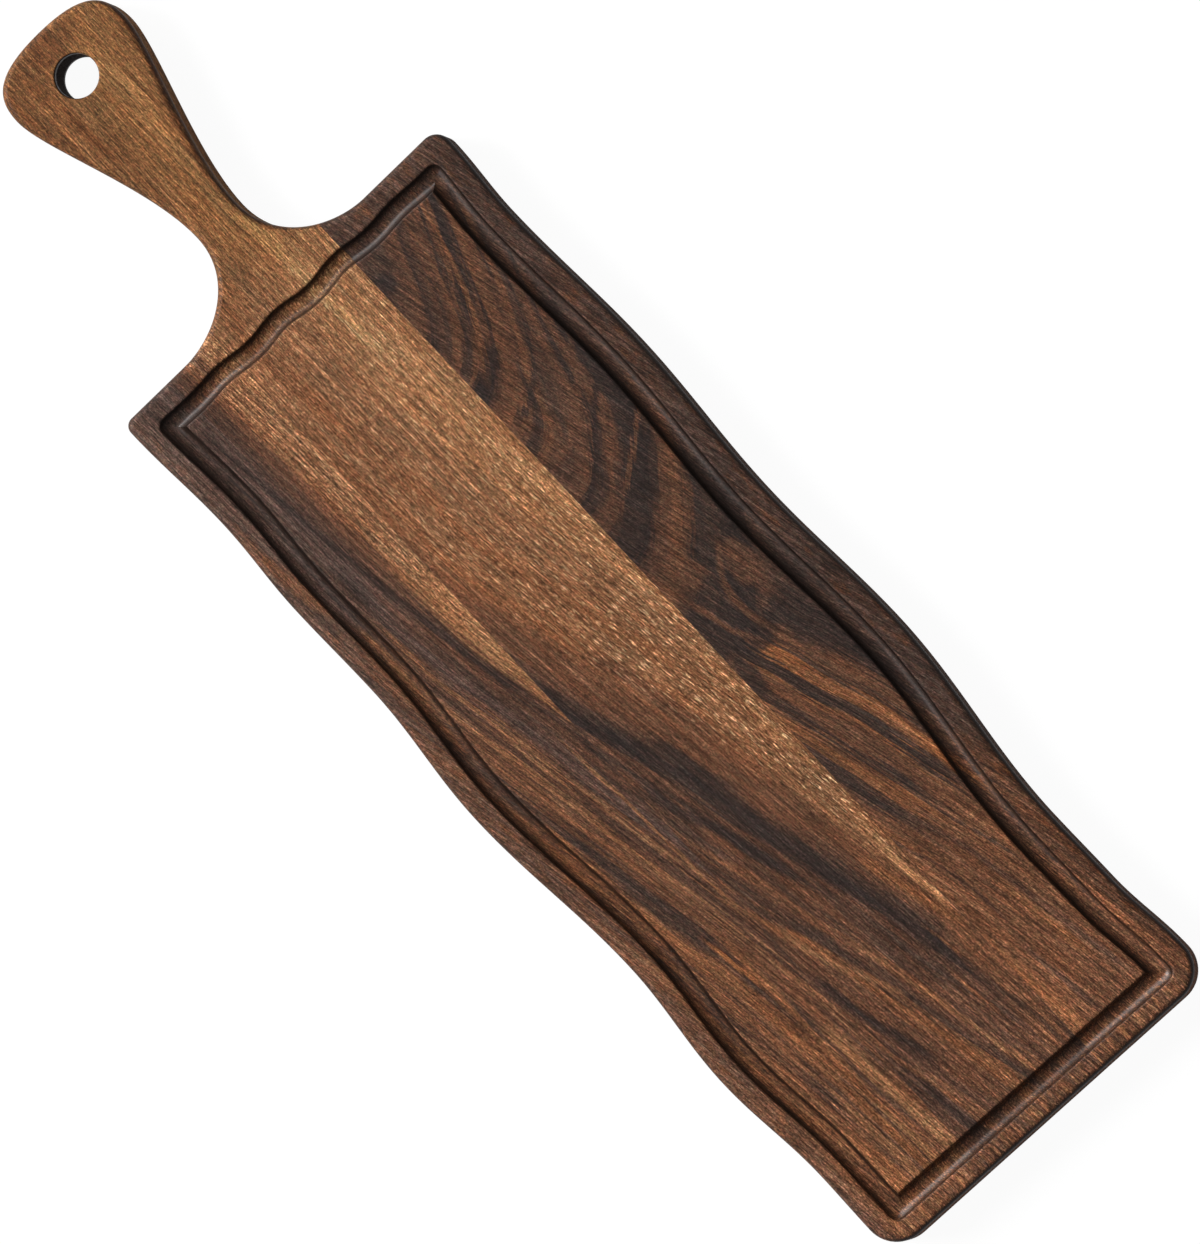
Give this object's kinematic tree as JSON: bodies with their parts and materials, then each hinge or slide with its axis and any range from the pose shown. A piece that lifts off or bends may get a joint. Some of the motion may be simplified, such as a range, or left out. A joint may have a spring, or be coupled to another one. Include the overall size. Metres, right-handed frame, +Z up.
{
  "type": "paddle serving board",
  "caption": "Paddle-shaped wooden serving board with wavy live edges, a juice groove round its upper face and a handle with a hang hole.",
  "frame": {"origin": "on the underside, at the middle of the board's overall length and width", "axes": "+X across the board to the right when the handle points away, +Y along the board towards the handle's tip, +Z up out of the grooved face"},
  "size_m": [0.152, 0.508, 0.016],
  "materials": {
    "dark_heartwood": "oiled, satin",
    "golden_wood": "oiled, satin",
    "figured_heartwood": "oiled, satin",
    "adhesive": "cured wood adhesive, matt"
  },
  "bodies": {
    "root": {"left_stave": "dark_heartwood", "handle_stave": "golden_wood", "right_stave": "figured_heartwood", "glue_line_left": "adhesive", "glue_line_right": "adhesive"}
  },
  "joints": []
}
